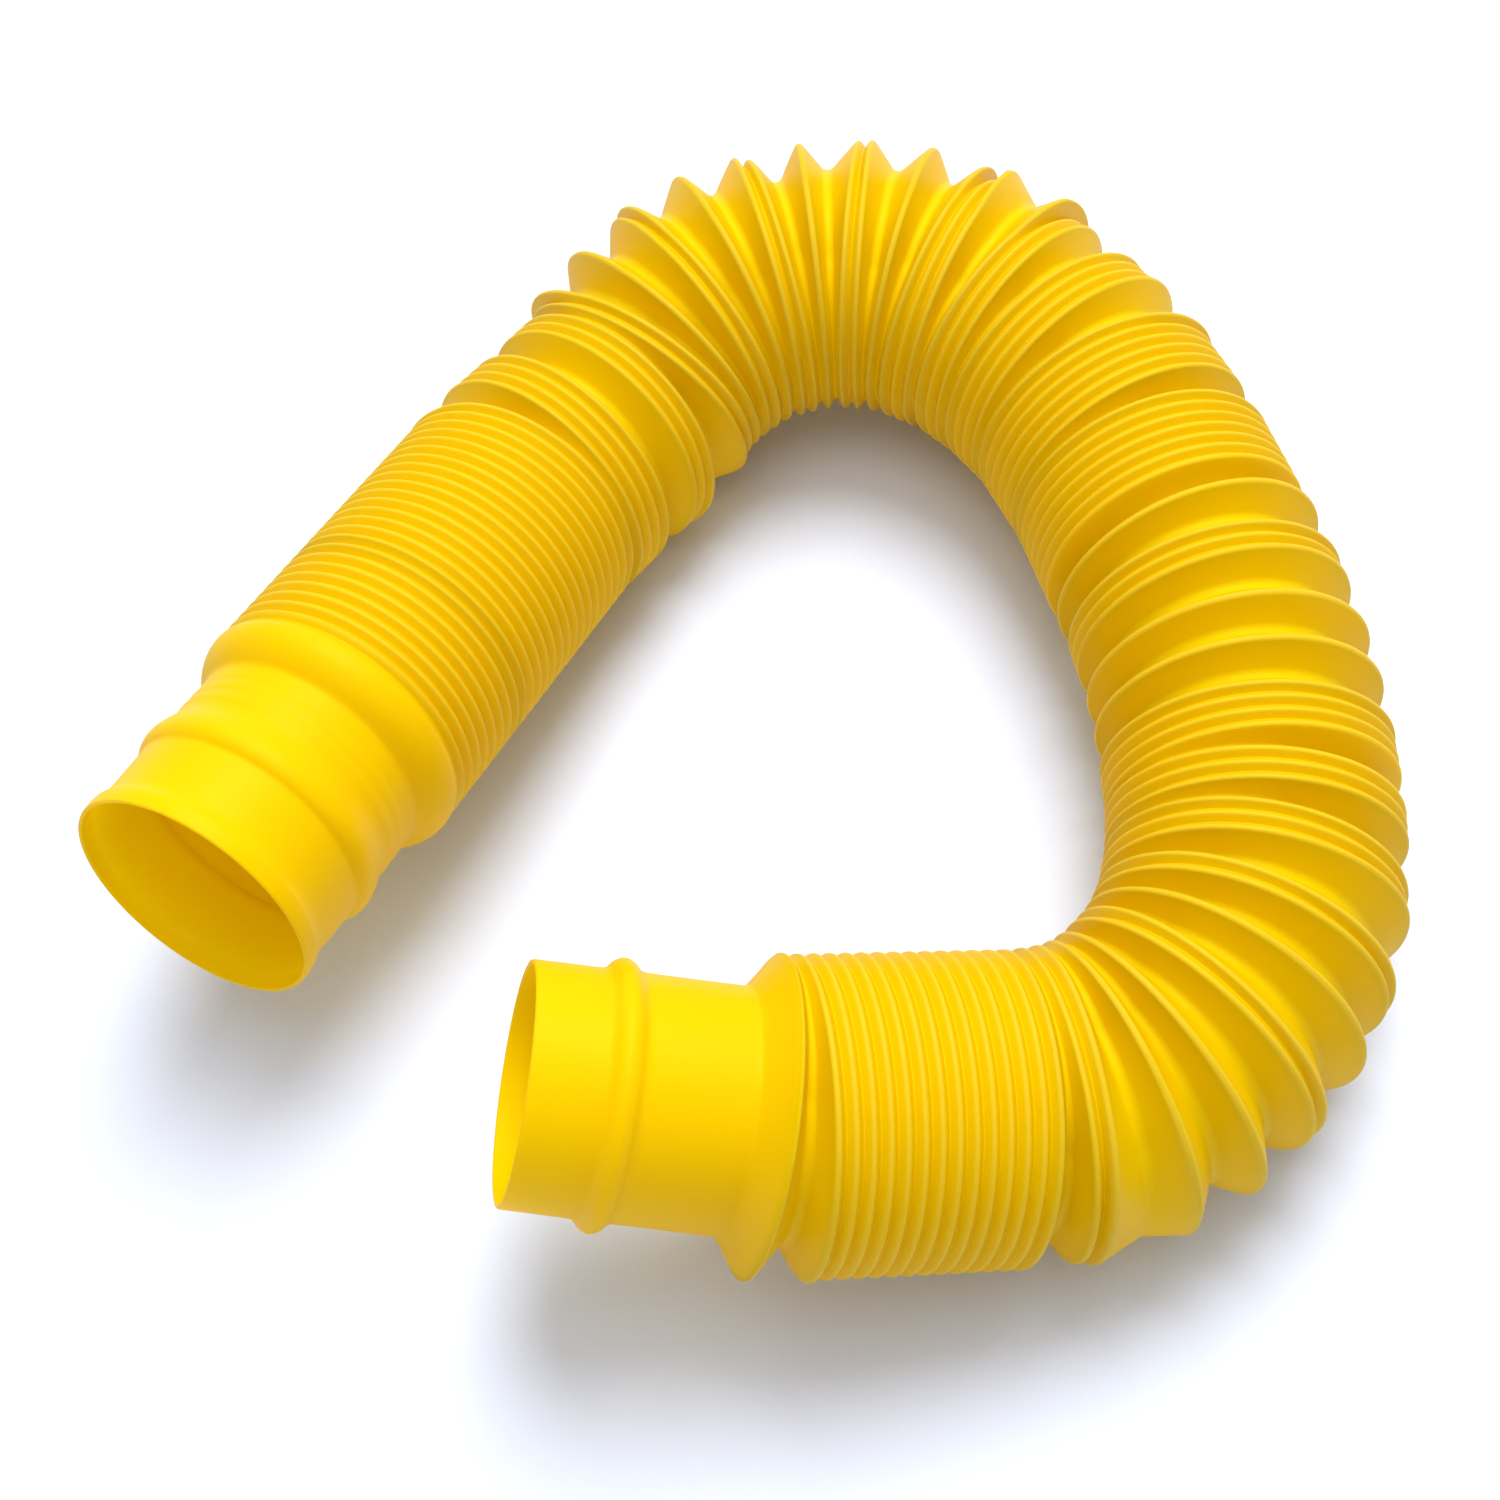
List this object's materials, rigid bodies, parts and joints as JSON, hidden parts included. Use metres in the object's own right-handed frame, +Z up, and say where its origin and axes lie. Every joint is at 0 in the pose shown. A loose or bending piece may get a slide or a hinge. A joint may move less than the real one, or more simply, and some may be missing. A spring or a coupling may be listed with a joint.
{
  "type": "corrugated pop tube",
  "caption": "Accordion-folded plastic tube bent into a hook, with a socket cuff at one end and a spigot cuff at the other; every fold snaps shut or open.",
  "frame": {"origin": "on the floor, under the middle of the outline of the tube as it lies", "axes": "+Z up; +X to the right as seen from the side the two cuffs point to; the cuffs are on the -X, -Y side"},
  "size_m": [0.1282, 0.133, 0.0387],
  "materials": {
    "tube_plastic": "satin yellow blow-moulded plastic"
  },
  "bodies": {
    "section_01": {"socket_cuff": "tube_plastic", "stack_01": "tube_plastic"},
    "section_02": {"stack_02": "tube_plastic", "pleat_02": "tube_plastic"},
    "section_03": {"stack_03": "tube_plastic", "pleat_03": "tube_plastic"},
    "section_04": {"stack_04": "tube_plastic", "pleat_04": "tube_plastic"},
    "section_05": {"stack_05": "tube_plastic", "pleat_05": "tube_plastic"},
    "section_06": {"stack_06": "tube_plastic", "pleat_06": "tube_plastic"},
    "section_07": {"stack_07": "tube_plastic", "pleat_07": "tube_plastic"},
    "section_08": {"stack_08": "tube_plastic", "pleat_08": "tube_plastic"},
    "section_09": {"stack_09": "tube_plastic", "pleat_09": "tube_plastic"},
    "section_10": {"stack_10": "tube_plastic", "pleat_10": "tube_plastic"},
    "section_11": {"stack_11": "tube_plastic", "pleat_11": "tube_plastic"},
    "section_12": {"stack_12": "tube_plastic", "pleat_12": "tube_plastic"},
    "section_13": {"stack_13": "tube_plastic", "pleat_13": "tube_plastic"},
    "section_14": {"stack_14": "tube_plastic", "pleat_14": "tube_plastic"},
    "section_15": {"stack_15": "tube_plastic", "pleat_15": "tube_plastic"},
    "section_16": {"stack_16": "tube_plastic", "pleat_16": "tube_plastic"},
    "section_17": {"stack_17": "tube_plastic", "pleat_17": "tube_plastic"},
    "section_18": {"stack_18": "tube_plastic", "pleat_18": "tube_plastic"},
    "section_19": {"stack_19": "tube_plastic", "pleat_19": "tube_plastic"},
    "section_20": {"stack_20": "tube_plastic", "pleat_20": "tube_plastic"},
    "section_21": {"stack_21": "tube_plastic", "pleat_21": "tube_plastic"},
    "section_22": {"stack_22": "tube_plastic", "pleat_22": "tube_plastic"},
    "section_23": {"stack_23": "tube_plastic", "pleat_23": "tube_plastic"},
    "section_24": {"stack_24": "tube_plastic", "pleat_24": "tube_plastic"},
    "section_25": {"stack_25": "tube_plastic", "pleat_25": "tube_plastic"},
    "section_26": {"stack_26": "tube_plastic", "pleat_26": "tube_plastic"},
    "section_27": {"stack_27": "tube_plastic", "pleat_27": "tube_plastic"},
    "section_28": {"stack_28": "tube_plastic", "pleat_28": "tube_plastic"},
    "spigot_end": {"spigot_cuff": "tube_plastic"}
  },
  "joints": [
    {"name": "fold_01", "type": "slide", "parent": "section_02", "child": "section_01", "axis": [-0.4641, -0.8704, 0.1646], "range_m": [0, 0.0049]},
    {"name": "fold_02", "type": "hinge", "parent": "section_03", "child": "section_02", "pos_m": [-0.01281, 0.01797, 0.02218], "axis": [-0.3277, 0.3413, 0.881], "range_deg": [-11.5, 0], "deforming": ["pleat_02"]},
    {"name": "fold_03", "type": "slide", "parent": "section_04", "child": "section_03", "axis": [-0.612, -0.7875, 0.0725], "range_m": [-0.0031, 0], "deforming": ["pleat_03"]},
    {"name": "fold_04", "type": "hinge", "parent": "section_05", "child": "section_04", "pos_m": [-0.01559, 0.03849, 0.02872], "axis": [-0.7934, 0.5931, -0.1367], "range_deg": [-15, 0], "deforming": ["pleat_04"]},
    {"name": "fold_05", "type": "hinge", "parent": "section_06", "child": "section_05", "pos_m": [0.00104, 0.03344, 0.01592], "axis": [-0.15, -0.1214, 0.9812], "range_deg": [-10.5, 0], "deforming": ["pleat_05"]},
    {"name": "fold_06", "type": "hinge", "parent": "section_07", "child": "section_06", "pos_m": [0.00208, 0.03618, 0.01017], "axis": [0.1568, -0.4148, 0.8963], "range_deg": [-9.5, 0], "deforming": ["pleat_06"]},
    {"name": "fold_07", "type": "hinge", "parent": "section_08", "child": "section_07", "pos_m": [0.00481, 0.03669, 0.01412], "axis": [0.0052, -0.2178, 0.976], "range_deg": [-11.5, 0], "deforming": ["pleat_07"]},
    {"name": "fold_08", "type": "hinge", "parent": "section_09", "child": "section_08", "pos_m": [0.00618, 0.0373, 0.01425], "axis": [0.0052, -0.2178, 0.976], "range_deg": [-11, 0], "deforming": ["pleat_08"]},
    {"name": "fold_09", "type": "hinge", "parent": "section_10", "child": "section_09", "pos_m": [0.0091, 0.03798, 0.01438], "axis": [0.0052, -0.2178, 0.976], "range_deg": [-9.5, 0], "deforming": ["pleat_09"]},
    {"name": "fold_10", "type": "hinge", "parent": "section_11", "child": "section_10", "pos_m": [0.0106, 0.03786, 0.01564], "axis": [-0.0008, -0.1321, 0.9912], "range_deg": [-11.5, 0], "deforming": ["pleat_10"]},
    {"name": "fold_11", "type": "hinge", "parent": "section_12", "child": "section_11", "pos_m": [0.01358, 0.03769, 0.01435], "axis": [-0.0123, -0.2172, 0.976], "range_deg": [-11.5, 0], "deforming": ["pleat_11"]},
    {"name": "fold_12", "type": "hinge", "parent": "section_13", "child": "section_12", "pos_m": [0.015, 0.03699, 0.0155], "axis": [0.0162, -0.136, 0.9906], "range_deg": [-11, 0], "deforming": ["pleat_12"]},
    {"name": "fold_13", "type": "hinge", "parent": "section_14", "child": "section_13", "pos_m": [0.01904, 0.03461, 0.01765], "axis": [0.1029, 0.0151, 0.9946], "range_deg": [-14.5, 0], "deforming": ["pleat_13"]},
    {"name": "fold_14", "type": "hinge", "parent": "section_15", "child": "section_14", "pos_m": [0.02226, 0.03148, 0.01737], "axis": [0.1029, 0.0151, 0.9946], "range_deg": [-10.5, 0], "deforming": ["pleat_14"]},
    {"name": "fold_15", "type": "hinge", "parent": "section_16", "child": "section_15", "pos_m": [0.02564, 0.0266, 0.01582], "axis": [0.0319, -0.0354, 0.9989], "range_deg": [-12, 0], "deforming": ["pleat_15"]},
    {"name": "fold_16", "type": "hinge", "parent": "section_17", "child": "section_16", "pos_m": [0.02977, 0.01841, 0.01915], "axis": [0.2684, 0.0683, 0.9609], "range_deg": [-8.5, 0], "deforming": ["pleat_16"]},
    {"name": "fold_17", "type": "slide", "parent": "section_17", "child": "section_18", "axis": [0.2187, -0.9758, -0.0072], "range_m": [-0.0022, 0], "deforming": ["pleat_17"]},
    {"name": "fold_18", "type": "slide", "parent": "section_18", "child": "section_19", "axis": [0.1416, -0.9898, -0.0125], "range_m": [-0.0028, 0], "deforming": ["pleat_18"]},
    {"name": "fold_19", "type": "slide", "parent": "section_19", "child": "section_20", "axis": [0.0245, -0.9995, -0.0204], "range_m": [-0.0026, 0], "deforming": ["pleat_19"]},
    {"name": "fold_20", "type": "hinge", "parent": "section_20", "child": "section_21", "pos_m": [0.03553, -0.02326, 0.01979], "axis": [-0.3599, 0.0708, -0.9303], "range_deg": [-8.5, 0], "deforming": ["pleat_20"]},
    {"name": "fold_21", "type": "hinge", "parent": "section_21", "child": "section_22", "pos_m": [0.03338, -0.02747, 0.01496], "axis": [-0.0312, -0.0175, -0.9994], "range_deg": [-11.5, 0], "deforming": ["pleat_21"]},
    {"name": "fold_22", "type": "hinge", "parent": "section_22", "child": "section_23", "pos_m": [0.03218, -0.0303, 0.01253], "axis": [0.125, -0.094, -0.9877], "range_deg": [-9, 0], "deforming": ["pleat_22"]},
    {"name": "fold_23", "type": "hinge", "parent": "section_23", "child": "section_24", "pos_m": [0.03132, -0.03153, 0.01254], "axis": [0.125, -0.094, -0.9877], "range_deg": [-10.5, 0], "deforming": ["pleat_23"]},
    {"name": "fold_24", "type": "hinge", "parent": "section_24", "child": "section_25", "pos_m": [0.02918, -0.03363, 0.01247], "axis": [0.125, -0.094, -0.9877], "range_deg": [-10, 0], "deforming": ["pleat_24"]},
    {"name": "fold_25", "type": "hinge", "parent": "section_25", "child": "section_26", "pos_m": [0.02793, -0.03501, 0.01865], "axis": [-0.1215, 0.2606, -0.9578], "range_deg": [-11.5, 0], "deforming": ["pleat_25"]},
    {"name": "fold_26", "type": "hinge", "parent": "section_26", "child": "section_27", "pos_m": [0.02695, -0.03646, 0.02101], "axis": [-0.1858, 0.4092, -0.8933], "range_deg": [-15, 0], "deforming": ["pleat_26"]},
    {"name": "fold_27", "type": "hinge", "parent": "section_27", "child": "section_28", "pos_m": [0.02557, -0.04169, 0.02701], "axis": [-0.2135, 0.8022, -0.5576], "range_deg": [-8.5, 0], "deforming": ["pleat_27"]},
    {"name": "fold_28", "type": "hinge", "parent": "section_28", "child": "spigot_end", "pos_m": [0.00378, -0.03942, 0.02763], "axis": [-0.2553, 0.4775, -0.8407], "range_deg": [-9, 0], "deforming": ["pleat_28"]}
  ]
}
